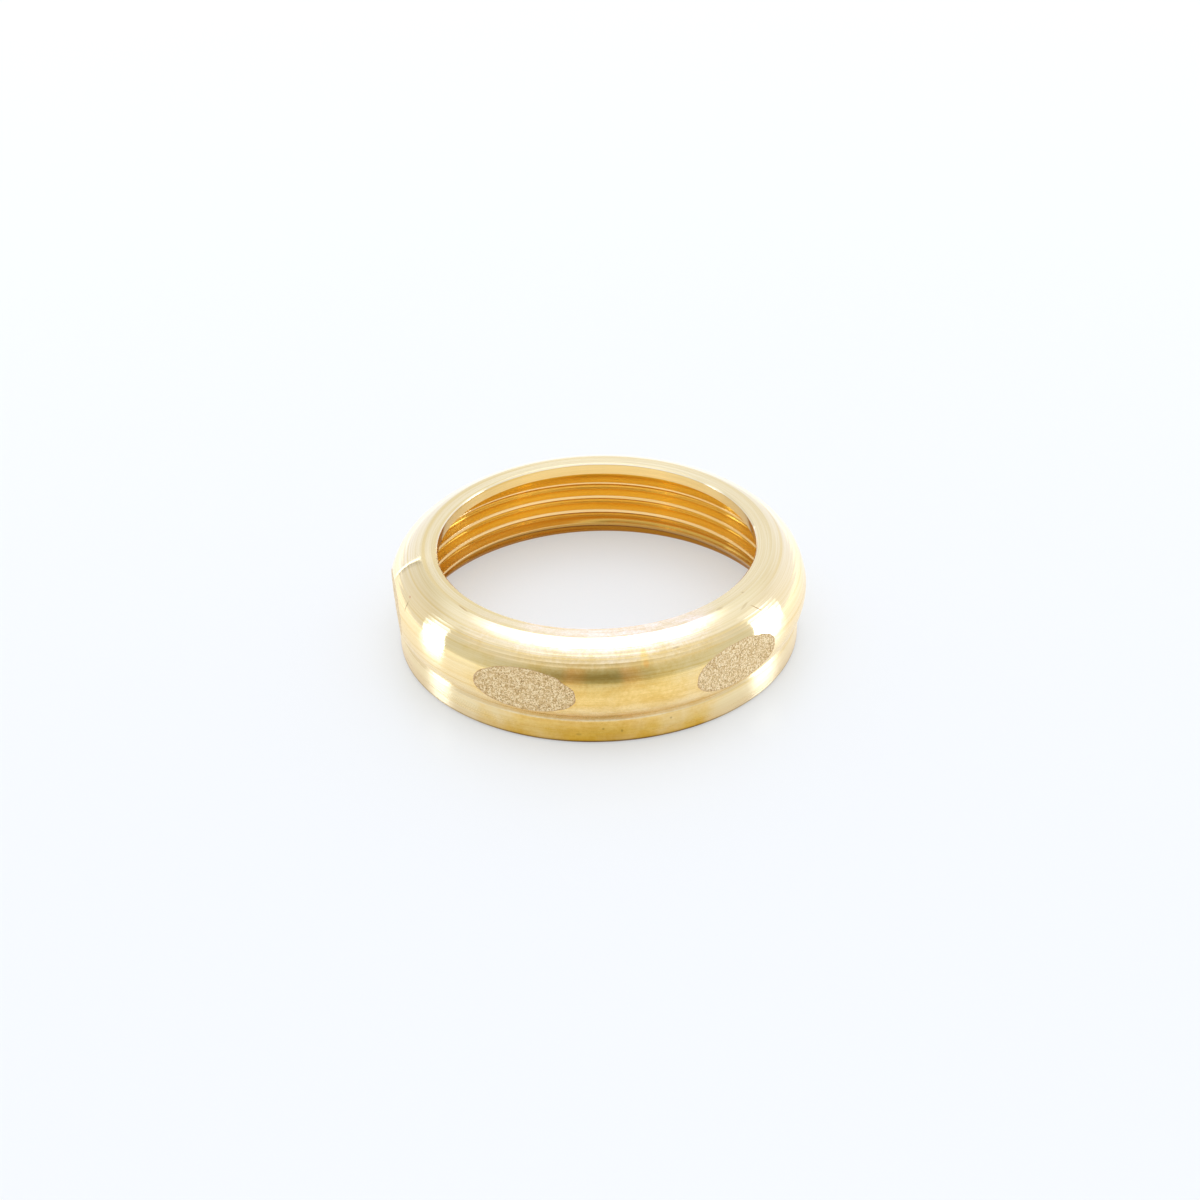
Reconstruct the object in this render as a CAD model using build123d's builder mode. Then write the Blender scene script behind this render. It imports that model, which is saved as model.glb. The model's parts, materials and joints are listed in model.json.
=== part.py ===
from build123d import *
import os

# Slip joint nut for a 1-1/2 inch tubular drain: one sand-cast brass blank, turned on a lathe.
# Frame: Z is the nut's axis, the threaded mouth rests on z = 0 and the lip faces +Z. Millimetres.

# The tube that passes through the lip sets every diameter, by the gaps and walls below
tube_diameter = 38.1
tube_clearance = 1.3
lip_overhang = 2.75
thread_depth = 1.1
mouth_clearance = 0.1
mouth_wall = 1.55
lip_face_width = 2.1

# Heights, and how far the turned shapes stand out or in
height = 13.0
lip_thickness = 1.6
skirt_height = 3.35
groove_depth = 0.3
groove_width = 0.25
bulge_crown = 2.65

# Broken edges
mouth_edge_chamfer = 0.25
tube_hole_chamfer = 0.2
seat_corner_chamfer = 0.4

# The blank is a hexagonal ring, a little wider across its flats than the turned skirt
flat_count = 6
flat_stand = 0.2
first_flat_angle = -90

# Radii, from the tube outwards
hole_radius = tube_diameter / 2 + tube_clearance
lip_face_radius = hole_radius + lip_face_width
bore_radius = hole_radius + lip_overhang
mouth_radius = bore_radius + thread_depth + mouth_clearance
skirt_radius = mouth_radius + mouth_wall
flat_distance = skirt_radius + flat_stand

# Heights, from the mouth upwards: the mouth is countersunk at 45 degrees, past the thread's depth
mouth_depth = mouth_radius - bore_radius
groove_floor = skirt_height + groove_width
lip_underside = height - lip_thickness

with BuildPart() as slip_joint_nut:
    # A full turn of the section makes everything that the lathe cuts
    with BuildSketch(Plane.XZ) as section:
        with BuildLine():
            skirt = Polyline(
                (mouth_radius, 0),
                (skirt_radius - mouth_edge_chamfer, 0),
                (skirt_radius, mouth_edge_chamfer),
                (skirt_radius, skirt_height),
                (skirt_radius - groove_depth, groove_floor),
            )
            # The bulge is one arc from the groove to the lip's face, standing out from its chord by the crown
            bulge = SagittaArc(skirt @ 1, (lip_face_radius, height), -bulge_crown)
            # The lip, the washer's seat under it, the thread's bore and the countersunk mouth
            Polyline(
                bulge @ 1,
                (hole_radius + tube_hole_chamfer, height),
                (hole_radius, height - tube_hole_chamfer),
                (hole_radius, lip_underside),
                (bore_radius - seat_corner_chamfer, lip_underside),
                (bore_radius, lip_underside - seat_corner_chamfer),
                (bore_radius, mouth_depth),
                skirt @ 0,
            )
        make_face()
    revolve(axis=Axis.Z)

    # The sides of the cast blank cut the bulge back, and each leaves an oval of its own skin there
    with BuildSketch() as blank:
        RegularPolygon(flat_distance, flat_count, major_radius=False, rotation=first_flat_angle + 180 / flat_count)
    extrude(amount=height, mode=Mode.INTERSECT)

slip_joint_nut.part.label = "slip_joint_nut"

os.makedirs("parts", exist_ok=True)
export_step(slip_joint_nut.part, "parts/slip_joint_nut.step")
print("across the bulge", round(slip_joint_nut.part.bounding_box().size.X, 2))
print("across the flats", round(2 * flat_distance, 2))
print("volume", round(slip_joint_nut.part.volume, 1))
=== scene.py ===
# %% [markdown]
# This lesson dresses a slip joint nut: the ring nut that squeezes a washer round a tubular drain.
# The real nut is sand-cast in brass as a six-sided ring. A lathe then turns it, bores it and cuts its thread.
# The lathe leaves the six sides of the casting untouched only where they lie deeper than the cut.
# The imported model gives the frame: the nut's axis is Z, and it stands on z = 0.

# %% Load the frame
import itertools
import json
import math

import bpy
import numpy as np
from mathutils import Matrix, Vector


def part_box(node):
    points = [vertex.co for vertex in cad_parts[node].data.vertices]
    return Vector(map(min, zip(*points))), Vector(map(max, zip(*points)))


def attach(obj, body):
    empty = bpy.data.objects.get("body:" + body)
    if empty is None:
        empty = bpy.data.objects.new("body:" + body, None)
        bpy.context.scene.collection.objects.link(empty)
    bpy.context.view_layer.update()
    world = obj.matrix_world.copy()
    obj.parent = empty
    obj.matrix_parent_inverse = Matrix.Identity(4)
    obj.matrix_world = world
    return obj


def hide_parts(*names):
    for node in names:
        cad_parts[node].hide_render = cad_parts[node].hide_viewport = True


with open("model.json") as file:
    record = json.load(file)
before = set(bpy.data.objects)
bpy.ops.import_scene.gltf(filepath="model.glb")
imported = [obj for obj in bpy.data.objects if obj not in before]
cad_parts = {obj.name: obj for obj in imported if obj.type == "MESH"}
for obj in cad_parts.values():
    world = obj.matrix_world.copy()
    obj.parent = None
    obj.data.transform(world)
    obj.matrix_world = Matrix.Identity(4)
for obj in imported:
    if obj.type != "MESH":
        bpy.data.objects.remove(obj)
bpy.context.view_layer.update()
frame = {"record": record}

MM = 0.001
NODE = "slip_joint_nut"

low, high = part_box(NODE)
print("the packed nut measures", [round((b - a) / MM, 2) for a, b in zip(low, high)], "mm")

# %% [markdown]
# The camera comes first. The photograph looks down on the nut from a little over 30 degrees, from close by.
# A camera can be set by eye or worked out. Here the rims of the hole, the lip and the skirt were fitted
# as circles seen in perspective, which gives a height angle, a distance and a lens together.
# The flat that faces -Y in the frame lies a third of a side to the left of the camera.

# %% Set up the camera
camera_turn = math.radians(20.44)
camera_height_angle = math.radians(32.55)
camera_roll = math.radians(-1.53)
camera_distance = 265.2 * MM
aim_right, aim_up = 0.16 * MM, 3.33 * MM
image_side = 1200
focal_pixels = 2023.2
sensor_mm = 36.0


def turned(vector, angle):
    """The vector turned about Z by an angle: x and y are mixed by its cosine and sine, and z stays."""
    cosine, sine = math.cos(angle), math.sin(angle)
    return np.array([vector[0] * cosine - vector[1] * sine, vector[0] * sine + vector[1] * cosine, vector[2]])


ahead = turned((0, math.cos(camera_height_angle), -math.sin(camera_height_angle)), camera_turn)
level_right = turned((1, 0, 0), camera_turn)
level_up = np.cross(level_right, ahead)
right = math.cos(camera_roll) * level_right + math.sin(camera_roll) * level_up
up = np.cross(right, ahead)

camera_data = bpy.data.cameras.new("camera")
camera_data.sensor_width = sensor_mm
camera_data.lens = focal_pixels / image_side * sensor_mm
camera_data.clip_start, camera_data.clip_end = 0.01, 10
camera = bpy.data.objects.new("camera", camera_data)
bpy.context.scene.collection.objects.link(camera)
place = aim_right * right + aim_up * up - camera_distance * ahead
axes = np.column_stack([right, up, -ahead])
camera.matrix_world = Matrix.Translation(place) @ Matrix(axes.tolist()).to_4x4()
bpy.context.scene.camera = camera
print("lens", round(camera_data.lens, 1), "mm at", [round(v / MM) for v in place])

# %% [markdown]
# The nut is one closed skin. Its shape could be a stack of Boolean cuts, but those leave ragged triangles
# that catch the light badly. Here it is a grid: one direction follows the section of the lathe's cuts,
# the other goes round. All sizes are in millimetres until the mesh is written.
# The sizes that the frame holds are read from it. The others are the ones that the solid was made with.

# %% Read the sizes
LIP_FACE_WIDTH, LIP_THICKNESS = 2.1, 1.6
MOUTH_OVER_BORE, FLAT_STAND = 1.2, 0.2
mounts = {m["name"]: m for m in frame["record"]["mounts"]}
hole_radius = mounts["tube_hole"]["dims"]["r_mm"]
bore_radius = mounts["slip_thread"]["dims"]["r_mm"]
height = high.z / MM
flat_distance = high.y / MM
lip_face_radius = hole_radius + LIP_FACE_WIDTH
lip_underside = height - LIP_THICKNESS
mouth_radius = bore_radius + MOUTH_OVER_BORE
skirt_radius = flat_distance - FLAT_STAND
skirt_height = 3.35
groove_depth, groove_width = 0.3, 0.25
bulge_crown = 2.65
mouth_edge_chamfer, tube_hole_chamfer, seat_corner_chamfer = 0.25, 0.2, 0.4
print("hole", 2 * hole_radius, "bore", 2 * bore_radius, "across the flats", round(2 * flat_distance, 2))

# %% [markdown]
# A lathe's corners are never quite sharp: each is broken by a small radius, and that radius is what glints.
# A rounded corner is an arc that touches both sides. Its centre lies on the line that halves the corner.
# One more point is put just past each end of the arc, so that smooth shading doesn't spread over the sides.

# %% Round the corners of a section
CORNER_STEPS = 4
SHOULDER = 0.06


def rounded(corners, steps=CORNER_STEPS):
    """Points (radius, height) of a run of corners (radius, height, rounding), with an arc at each rounding.

    An arc's ends lie at the rounding over the tangent of half the corner's angle, along its two sides.
    Its centre lies at the rounding over the sine of that half, along the line that halves the corner."""
    points = [corners[0][:2]]
    for before, here, after in zip(corners, corners[1:], corners[2:]):
        corner, rounding = np.array(here[:2]), here[2]
        back, on = np.array(before[:2]) - corner, np.array(after[:2]) - corner
        back, on = back / np.linalg.norm(back), on / np.linalg.norm(on)
        half = math.acos(np.clip(back @ on, -1, 1)) / 2
        reach = rounding / math.tan(half)
        centre = corner + (back + on) / np.linalg.norm(back + on) * rounding / math.sin(half)
        start = math.atan2(*(corner + back * reach - centre)[::-1])
        sweep = math.remainder(math.atan2(*(corner + on * reach - centre)[::-1]) - start, 2 * math.pi)
        angles = start + sweep * np.linspace(0, 1, steps)
        points.append(corner + back * (reach + SHOULDER))
        points.extend(centre + rounding * np.column_stack([np.cos(angles), np.sin(angles)]))
        points.append(corner + on * (reach + SHOULDER))
    points.append(corners[-1][:2])
    return np.array(points)


print("a corner becomes", len(rounded([(0, 0), (1, 0, 0.1), (1, 1)])) - 2, "points")

# %% [markdown]
# The bulge is one arc, which a form tool or a copying slide leaves between the groove and the lip's face.
# Its crown is how far it stands out from the straight line between its ends, so the radius follows from
# the chord and the crown: half the chord squared plus the crown squared, over twice the crown.

# %% Work out the bulge's arc
groove_floor = np.array([skirt_radius - groove_depth, skirt_height + groove_width])
lip_edge = np.array([lip_face_radius, height])
chord = np.linalg.norm(lip_edge - groove_floor)
bulge_radius = ((chord / 2) ** 2 + bulge_crown**2) / (2 * bulge_crown)
along = (lip_edge - groove_floor) / chord
outwards = np.array([along[1], -along[0]])
bulge_centre = (groove_floor + lip_edge) / 2 + outwards * (bulge_crown - bulge_radius)
bulge_start = math.atan2(*(groove_floor - bulge_centre)[::-1])
bulge_end = math.atan2(*(lip_edge - bulge_centre)[::-1])
widest = bulge_centre[0] + bulge_radius
print("bulge radius", round(bulge_radius, 3), "widest", round(2 * widest, 2), "mm")

# %% [markdown]
# Each side of the cast blank is a flat plane that the lathe's tool runs out of, so it stays as an oval.
# Where the arc's own radius times the cosine of the angle from the flat's middle equals the flat's distance,
# the two meet. If the rows and the columns of the grid are chosen so that they cross exactly on that line,
# the oval's edge is a chain of grid points and stays clean. Equal steps of a parameter t do this:
# the row is at the oval's half height times sin t, and the column is where that row meets the flat.

# %% Choose rows and columns that cross on the ovals' edges
FLATS = 6
OVAL_STEPS = 20
PLAIN_STEPS = 7

oval_top = math.acos((flat_distance - bulge_centre[0]) / bulge_radius)
quarter = np.linspace(0, math.pi / 2, OVAL_STEPS + 1)


def bulge_point(angle):
    """Radius and height of the arc at an angle: its centre plus its radius times the cosine and the sine."""
    return bulge_centre[0] + bulge_radius * np.cos(angle), bulge_centre[1] + bulge_radius * np.sin(angle)


def flat_meets(angle):
    """How far round from a flat's middle the arc meets it: the arc cosine of its distance over the radius."""
    return np.arccos(np.clip(flat_distance / bulge_point(angle)[0], -1, 1))


def both_sides(half):
    """The values with their opposites before them, and without the last, which the next flat starts with."""
    return np.concatenate([-half[:0:-1], half[:-1]])


meets = flat_meets(oval_top * np.sin(quarter))
oval_side = meets[0]
sector = math.pi / FLATS
plain = np.linspace(oval_side, sector, PLAIN_STEPS + 1)[1:]
offset = np.tile(both_sides(np.concatenate([meets[::-1], plain])), FLATS)
spread = np.tile(both_sides(np.concatenate([np.cos(quarter)[::-1], plain / oval_side])), FLATS)
COLUMNS = len(offset)
flat_of_column = np.repeat(np.arange(FLATS), COLUMNS // FLATS)
middle_of_flat = -math.pi + sector * (2 * flat_of_column + 1)
print("oval", round(2 * flat_distance * math.tan(oval_side), 2), "mm wide,", COLUMNS, "columns round the nut")

# %% [markdown]
# The last passes of the tool left a band of rings high on the bulge, which the photograph shows plainly.
# Between two rings the tool's nose leaves a shallow hollow, with a ridge where two hollows meet.
# Rows are set at the ridges and in the hollows, so that these rings are real shape and not only shading.
# Eleven thousandths of a millimetre are enough to turn the mirror image in the metal by several degrees.

# %% Lay out the rows of the outside
RING_PITCH, RING_COUNT, RING_DEPTH = 0.46, 4, 0.011
RING_STEPS = (0, 0.05, 0.15, 0.3, 0.5, 0.7, 0.85, 0.95)
RINGS_UP_BULGE = 7.75
GROOVE_LEAD = 0.3
ROWS_UNDER_OVAL, ROWS_OVER_OVAL, ROWS_OVER_RINGS = 4, 5, 9

rings_start = bulge_start + RINGS_UP_BULGE / bulge_radius
rings_end = rings_start + RING_COUNT * RING_PITCH / bulge_radius
ring_turns = np.add.outer(np.arange(RING_COUNT), RING_STEPS).ravel()
bulge_angles = np.concatenate([
    np.linspace(bulge_start + GROOVE_LEAD / bulge_radius, -oval_top, ROWS_UNDER_OVAL)[:-1],
    oval_top * np.sin(np.concatenate([-quarter[:0:-1], quarter])),
    np.linspace(oval_top, rings_start, ROWS_OVER_OVAL)[1:-1],
    rings_start + ring_turns * RING_PITCH / bulge_radius,
    np.linspace(rings_end, bulge_end, ROWS_OVER_RINGS),
])


def rings(angle):
    """Depth of the tool's rings: a hollow between ridges, one minus a parabola, and none outside the band."""
    turns = (angle - rings_start) * bulge_radius / RING_PITCH
    inside = (turns > 0) & (turns < RING_COUNT)
    return np.where(inside, RING_DEPTH * (1 - (2 * (turns % 1) - 1) ** 2), 0)


rim_middle = (skirt_radius + mouth_radius) / 2
groove_tangent = np.array([-math.sin(bulge_start), math.cos(bulge_start)])
lower_run = rounded([
    (rim_middle, 0),
    (skirt_radius - mouth_edge_chamfer, 0, 0.05),
    (skirt_radius, mouth_edge_chamfer, 0.05),
    (skirt_radius, skirt_height, 0.08),
    (*groove_floor, 0.05),
    tuple(groove_floor + GROOVE_LEAD * groove_tangent),
])[:-2]
print(len(lower_run), "rows up the skirt,", len(bulge_angles), "rows over the bulge")

# %% [markdown]
# Over the lip the tool faced the top flat, broke the hole's edge, bored it, and undercut the washer's seat.
# The wall below carries the thread. Slip joint threads have eleven and a half turns to the inch.
# The crest is a narrow flat at the bore's own radius, and the flanks lie 60 degrees apart. Carried on, they
# would meet in a point, but the tool's round nose leaves a curve there, which sets the depth.

# %% Lay out the lip and one turn of the thread
THREAD_PITCH = 25.4 / 11.5
THREAD_DEPTH = 1.1
CREST_HALF = 0.2
CREST_ROUNDING = 0.06
ROOT_STEPS = 9
LIP_ROWS = 9
flank_slope = math.tan(math.radians(30))
flank_point = (THREAD_PITCH / 2 - CREST_HALF) / flank_slope
root_rounding = flank_point - THREAD_DEPTH
thread_top, thread_foot = 10.6, 0.06
by_hole = hole_radius + 0.4

lip_run = np.concatenate([
    np.column_stack([np.linspace(lip_face_radius, by_hole, LIP_ROWS), np.full(LIP_ROWS, height)])[1:],
    rounded([
        (by_hole, height),
        (hole_radius + tube_hole_chamfer, height, 0.04),
        (hole_radius, height - tube_hole_chamfer, 0.04),
        (hole_radius, lip_underside, 0.08),
        (bore_radius - seat_corner_chamfer, lip_underside, 0.05),
        (bore_radius, lip_underside - seat_corner_chamfer, 0.05),
        (bore_radius, thread_top),
    ])[1:-1],
])

root_middle = (flank_point, THREAD_PITCH / 2)
crest_corner = rounded([(0, 0), (0, CREST_HALF, CREST_ROUNDING), root_middle])
next_crest = (0, THREAD_PITCH - CREST_HALF)
root_curve = rounded([(0, CREST_HALF), (*root_middle, root_rounding), next_crest], ROOT_STEPS)
# The last row of half a turn belongs to both halves. It lies one step short of the root's middle, so the
# cut is 0.02 mm shallower than the depth says.
half_turn = np.concatenate([crest_corner[:1], crest_corner[2:-1], root_curve[1:6]])
turn_depth = np.concatenate([half_turn[:, 0], half_turn[-2:0:-1, 0]])
turn_offset = np.concatenate([half_turn[:, 1], THREAD_PITCH - half_turn[-2:0:-1, 1]])
ROWS_A_TURN = len(turn_offset)
print(len(lip_run), "rows over the lip,", ROWS_A_TURN, "rows in one turn of the thread")

# %% [markdown]
# The rows of the thread climb with the helix, so that its crests are smooth lines and never stairs.
# A row is a fixed place on the thread's form, carried one pitch higher in each full turn. Going right round,
# a row therefore meets the row one turn above. Above and below the thread every row is held at its end
# height, where the points of a column fall together and are merged later. The crests near the lip are a
# little narrower. The lowest crest is broken back a little farther up than the solid's countersink, as the
# photograph shows no crest near the mouth.

# %% Carry the thread's form along its helix
CREST_AT_START = 11.08
TURNS = 6
RUN_OUT, RUN_OUT_GAP = 1.2, 0.1
NARROWED, NARROWED_FROM, NARROWED_TO = 0.13, 7.4, 8.9
MOUTH_LEAN = 0.55

theta = middle_of_flat + offset
around = (theta + math.pi) / (2 * math.pi)
turn_number = np.repeat(np.arange(TURNS), ROWS_A_TURN)
row_offset = np.tile(turn_offset, TURNS)
row_depth = np.tile(turn_depth, TURNS)


def smooth_step(x, start, end):
    """0 before start, 1 after end, and between them three x squared less two x cubed."""
    t = np.clip((x - start) / (end - start), 0, 1)
    return t * t * (3 - 2 * t)


def thread_wall(around):
    """Heights and radii of the thread's rows. Each hangs below its own crest, which climbs a pitch in a turn.

    High up, the rows beside a crest are drawn towards it: fully at its edge, and not at all in the root.
    The depth fades out towards the lip in a straight line. The mouth's slope cuts the lowest crest back."""
    crest = CREST_AT_START - THREAD_PITCH * turn_number[:, None] + THREAD_PITCH * around
    from_crest = np.minimum(row_offset, THREAD_PITCH - row_offset)
    side = np.where(row_offset < THREAD_PITCH / 2, 1, -1)
    nearest = crest - np.where(side < 0, THREAD_PITCH, 0)[:, None]
    pull = np.where(from_crest > 0, 1 - smooth_step(from_crest, CREST_HALF, THREAD_PITCH / 2), 0)
    narrower = NARROWED * smooth_step(nearest, NARROWED_FROM, NARROWED_TO)
    z = crest - row_offset[:, None] + (side * pull)[:, None] * narrower
    z = np.clip(z, thread_foot, thread_top)
    fade = np.clip((thread_top - RUN_OUT_GAP - z) / RUN_OUT, 0, 1)
    cut = bore_radius + row_depth[:, None] * fade
    return z, np.maximum(cut, mouth_radius - MOUTH_LEAN * z)


thread_z, thread_r = thread_wall(around)
print("thread radii", thread_r.min().round(2), "to", thread_r.max().round(2), "mm")

# %% [markdown]
# The skin of a sand casting is uneven: it has slow lumps, and the grain of the sand on top.
# A sum of plane waves in random directions makes such a surface: each wave is a cosine of the place
# along its own direction, with its own phase. Long waves give the lumps, short waves a coarse grain.
# The solid's flat is taken as the level of the highest peaks, so the skin lies a little under it.

# %% Make the uneven skin of the casting
chance = np.random.default_rng(437)
LUMPS, GRAINS = 14, 60
LUMP_LENGTHS, GRAIN_LENGTHS = (1.6, 3.6), (0.8, 1.5)
LUMP_HEIGHT, GRAIN_HEIGHT, SKIN_LEVEL = 0.014, 0.006, -0.035
wave_length = np.concatenate([chance.uniform(*LUMP_LENGTHS, LUMPS), chance.uniform(*GRAIN_LENGTHS, GRAINS)])
wave_height = np.concatenate([
    np.full(LUMPS, LUMP_HEIGHT * math.sqrt(2 / LUMPS)),
    np.full(GRAINS, GRAIN_HEIGHT * math.sqrt(2 / GRAINS)),
])
wave_heading = chance.uniform(0, 2 * math.pi, LUMPS + GRAINS)
wave_phase = chance.uniform(0, 2 * math.pi, (FLATS, LUMPS + GRAINS))


def cast_skin(flat, across, level):
    """Height of the skin over its flat: its level and the sum of the waves there, but never over zero."""
    way = (np.cos(wave_heading) * across[..., None] + np.sin(wave_heading) * level[..., None]) / wave_length
    waves = (wave_height * np.cos(2 * math.pi * way + wave_phase[flat])).sum(-1)
    return np.minimum(SKIN_LEVEL + waves, 0)


sample = cast_skin(np.zeros(400, int), np.linspace(-6, 6, 400), np.full(400, 7.0))
print("the skin stands", sample.min().round(3), "to", sample.max().round(3), "mm from its plane")

# %% [markdown]
# An uneven skin meets the turned arc along an uneven line, so each point of an oval's edge is slid along
# the ray from the oval's middle until arc and skin are equally far out. Halving an interval finds that place
# for all the points at once. The grid round the edge is carried along, less and less with the distance.
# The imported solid's facets cut a hair inside its widest circle, so the bulge is drawn in there by as much.

# %% Slide the ovals' edges to where skin and arc meet
HALVINGS, SLIDE_FROM, SLIDE_TO = 30, 0.8, 1.2
EDGE_REACH = 0.14
FACET_SAG = 0.009
ROUND_OFF = 1e-6

ray = np.linspace(0, 2 * math.pi, 4 * OVAL_STEPS, endpoint=False)
ray_angle = oval_top * np.sin(ray)
ray_offset = np.sign(np.cos(ray).round(9)) * flat_meets(ray_angle)
each_flat = np.repeat(np.arange(FLATS)[:, None], len(ray), axis=1)
nearer, farther = np.full(each_flat.shape, SLIDE_FROM), np.full(each_flat.shape, SLIDE_TO)
for halving in range(HALVINGS):
    middle = (nearer + farther) / 2
    radius, level = bulge_point(middle * ray_angle)
    skin = flat_distance + cast_skin(each_flat, radius * np.sin(middle * ray_offset), level)
    still_inside = radius * np.cos(middle * ray_offset) > skin
    nearer = np.where(still_inside, middle, nearer)
    farther = np.where(still_inside, farther, middle)
slide = middle - 1
print("the ovals' edges move by up to", (np.abs(slide).max() * flat_distance * oval_side).round(2), "mm")

rise = bulge_angles / oval_top
from_middle = np.hypot(rise[:, None], spread)
ray_here = np.arctan2(rise[:, None], spread) % (2 * math.pi)
moved = np.empty_like(from_middle)
for flat in range(FLATS):
    here = flat_of_column == flat
    moved[:, here] = np.interp(ray_here[:, here], ray, slide[flat], period=2 * math.pi)
moved *= np.exp(-(((from_middle - 1) / EDGE_REACH) ** 2))
bulge_offset = offset * (1 + moved)
bulge_angle = bulge_angles[:, None] * (1 + moved)
turned_r, bulge_z = bulge_point(bulge_angle)
turned_r = turned_r - rings(bulge_angle) * np.cos(bulge_angle) - FACET_SAG * np.cos(bulge_angle) ** 8
bulge_z = bulge_z - rings(bulge_angle) * np.sin(bulge_angle)

on_edge = np.abs(from_middle - 1) < ROUND_OFF
in_oval = (from_middle < 1) & ~on_edge
across = turned_r * np.sin(bulge_offset)
skin_r = (flat_distance + cast_skin(flat_of_column, across, bulge_z)) / np.cos(bulge_offset)
bulge_r = np.where(in_oval, np.minimum(skin_r, turned_r), turned_r)
print(on_edge.sum() // FLATS, "points on the edge of each oval")

# %% [markdown]
# The runs are now stacked into one grid of rows and columns. The mouth's small corner closes the section.
# Each point has a number. Points that fall together get the same number, and the last column is the first
# one again, with the thread's rows shifted by one turn. A triangle with a number twice has no area and goes.

# %% Stack the grid and number its points
up_mouth = (mouth_radius - MOUTH_LEAN * 0.5, 0.5)
foot_run = rounded([up_mouth, (mouth_radius, 0, 0.05), (rim_middle, 0)])[2:-1]
top_row = np.array([[bore_radius, thread_top]])
foot_row = np.array([[mouth_radius - MOUTH_LEAN * thread_foot, thread_foot]])


def all_round(run):
    """Rows that are the same all the way round, as (angles, radii, heights)."""
    same = np.ones((1, COLUMNS))
    return theta * np.ones((len(run), 1)), run[:, :1] * same, run[:, 1:] * same


blocks = {
    "skirt": all_round(lower_run),
    "bulge": (middle_of_flat + bulge_offset, bulge_r, bulge_z),
    "lip": all_round(lip_run),
    "thread top": all_round(top_row),
    "thread": (theta * np.ones((len(thread_z), 1)), thread_r, thread_z),
    "thread foot": all_round(foot_row),
    "mouth": all_round(foot_run),
}
first_row, rows = {}, 0
for name, block in blocks.items():
    first_row[name] = rows
    rows += len(block[0])
grid_theta, grid_r, grid_z = (np.concatenate([block[i] for block in blocks.values()]) for i in range(3))
on_bulge = slice(first_row["bulge"], first_row["lip"])
in_thread = slice(first_row["thread"], first_row["thread foot"])
top_number, foot_number = in_thread.start - 1, in_thread.stop

number = np.arange(rows * COLUMNS).reshape(rows, COLUMNS)
number[in_thread] = np.where(grid_z[in_thread] >= thread_top, number[top_number], number[in_thread])
number[in_thread] = np.where(grid_z[in_thread] <= thread_foot, number[foot_number], number[in_thread])
last_column = number[:, 0].copy()
last_column[in_thread.start + ROWS_A_TURN:foot_number] = number[in_thread.start:foot_number - ROWS_A_TURN, 0]
last_column[in_thread.start:in_thread.start + ROWS_A_TURN] = number[top_number, 0]
number = np.column_stack([number, last_column])
number = np.vstack([number, number[:1]])
print(rows, "rows by", COLUMNS, "columns")

# %% [markdown]
# Each cell of the grid is cut into two triangles. The cut normally runs from the lower left to the upper
# right corner, but where an oval's edge passes through a cell, the cut follows the edge.
# A triangle belongs to the casting's skin if none of its corners lies outside the oval.

# %% Cut the cells into triangles
edge_point = np.zeros((rows, COLUMNS), bool)
skin_point = np.zeros((rows, COLUMNS), bool)
edge_point[on_bulge] = on_edge
skin_point[on_bulge] = in_oval | on_edge
edge_point, skin_point = edge_point.ravel(), skin_point.ravel()

low_left, low_right = number[:-1, :-1], number[:-1, 1:]
high_left, high_right = number[1:, :-1], number[1:, 1:]
falling = edge_point[low_right] & edge_point[high_left]
fallen = [(low_left, low_right, high_left), (low_right, high_right, high_left)]
risen = [(low_left, low_right, high_right), (low_left, high_right, high_left)]
triangles = np.where(
    falling[..., None, None],
    np.stack([np.stack(corners, -1) for corners in fallen], -2),
    np.stack([np.stack(corners, -1) for corners in risen], -2),
)
row_of_face = np.broadcast_to(np.arange(rows)[:, None, None], triangles.shape[:3]).ravel()
column_of_face = np.broadcast_to(np.arange(COLUMNS)[None, :, None], triangles.shape[:3]).ravel()
triangles = triangles.reshape(-1, 3)
real = (triangles != np.roll(triangles, 1, axis=1)).all(1)
triangles, row_of_face, column_of_face = triangles[real], row_of_face[real], column_of_face[real]
print(len(triangles), "triangles")

# %% [markdown]
# Marks of the lathe run round the nut, so its materials need to know two lengths on the surface: how far
# round a point lies, and how far along the section. A UV map holds both as shares of the whole.
# The section's length is added up from row to row along the plain wall, as a tape laid on it would.

# %% Measure the surface for the materials
plain_section = np.concatenate([lower_run, np.column_stack(bulge_point(bulge_angles)), lip_run, top_row])
length = np.concatenate([[0], np.cumsum(np.linalg.norm(np.diff(plain_section, axis=0), axis=1))])
under_top = length[-1] + thread_top
section = np.empty((rows, COLUMNS))
section[:in_thread.start] = length[:, None]
section[on_bulge] += (bulge_angle - bulge_angles[:, None]) * bulge_radius
section[in_thread.start:] = under_top - grid_z[in_thread.start:]
section[first_row["mouth"]:] += (grid_r - mouth_radius)[first_row["mouth"]:].clip(0)
section_total = section.max() + 0.5
uv_around = np.column_stack([around * np.ones((rows, 1)), np.ones(rows)])
uv_around[on_bulge, :-1] += (bulge_offset - offset) / (2 * math.pi)
uv_section = np.column_stack([section, section[:, 0]])
uv_section[in_thread, -1] = under_top - thread_wall(np.ones(1))[0][:, 0]
uv_around = np.vstack([uv_around, uv_around[:1]])
uv_section = np.vstack([uv_section, np.full((1, COLUMNS + 1), section_total)]) / section_total
print("the section is", section_total.round(1), "mm long")

# %% [markdown]
# Now the mesh can be written. Only the points that a triangle uses are kept. The corners of each triangle
# look up their place on the map by row and column, because points that were merged have more than one.

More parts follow.
